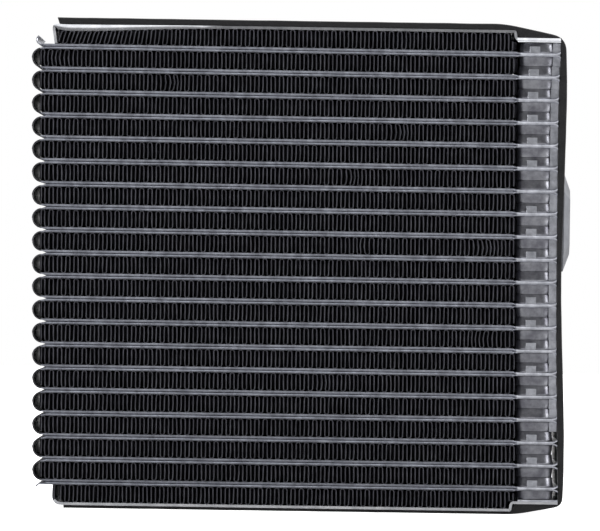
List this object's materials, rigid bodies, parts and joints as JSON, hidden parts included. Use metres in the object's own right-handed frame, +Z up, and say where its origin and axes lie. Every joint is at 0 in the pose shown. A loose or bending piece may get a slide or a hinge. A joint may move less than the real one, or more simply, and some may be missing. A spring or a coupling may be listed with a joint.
{
  "type": "laminated plate-fin evaporator core",
  "caption": "Flat laminated refrigerant core: stamped plate tubes with cup tank at one end, folded fins between them, side plates, foam seal tape and a valve pad.",
  "frame": {"origin": "middle of the base, on the surface that the foam-covered bottom stands on", "axes": "+X along the tubes to the tank and valve pad, +Y through the core along the air flow, +Z up across the stack"},
  "size_m": [0.2458, 0.074, 0.2227],
  "materials": {
    "core_plate": "mill finish, dulled by brazing",
    "fin": "dark dull water-shedding coat",
    "side_sheet": "rolled sheet, dulled by brazing",
    "foam": "closed-cell foam tape, matt",
    "valve_block": "satin, as machined"
  },
  "bodies": {
    "root": {"tube_01": "core_plate", "tube_02": "core_plate", "tube_03": "core_plate", "tube_04": "core_plate", "tube_05": "core_plate", "tube_06": "core_plate", "tube_07": "core_plate", "tube_08": "core_plate", "tube_09": "core_plate", "tube_10": "core_plate", "tube_11": "core_plate", "tube_12": "core_plate", "tube_13": "core_plate", "tube_14": "core_plate", "tube_15": "core_plate", "tube_16": "core_plate", "tube_17": "core_plate", "tube_18": "core_plate", "tube_19": "core_plate", "tube_20": "core_plate", "fin_01": "fin", "fin_02": "fin", "fin_03": "fin", "fin_04": "fin", "fin_05": "fin", "fin_06": "fin", "fin_07": "fin", "fin_08": "fin", "fin_09": "fin", "fin_10": "fin", "fin_11": "fin", "fin_12": "fin", "fin_13": "fin", "fin_14": "fin", "fin_15": "fin", "fin_16": "fin", "fin_17": "fin", "fin_18": "fin", "fin_19": "fin", "fin_20": "fin", "fin_21": "fin", "side_plate_top": "side_sheet", "side_plate_bottom": "side_sheet", "tank_cap_top": "side_sheet", "tank_cap_bottom": "side_sheet", "foam_top": "foam", "foam_side": "foam", "foam_base": "foam", "valve_pad": "valve_block"}
  },
  "joints": []
}
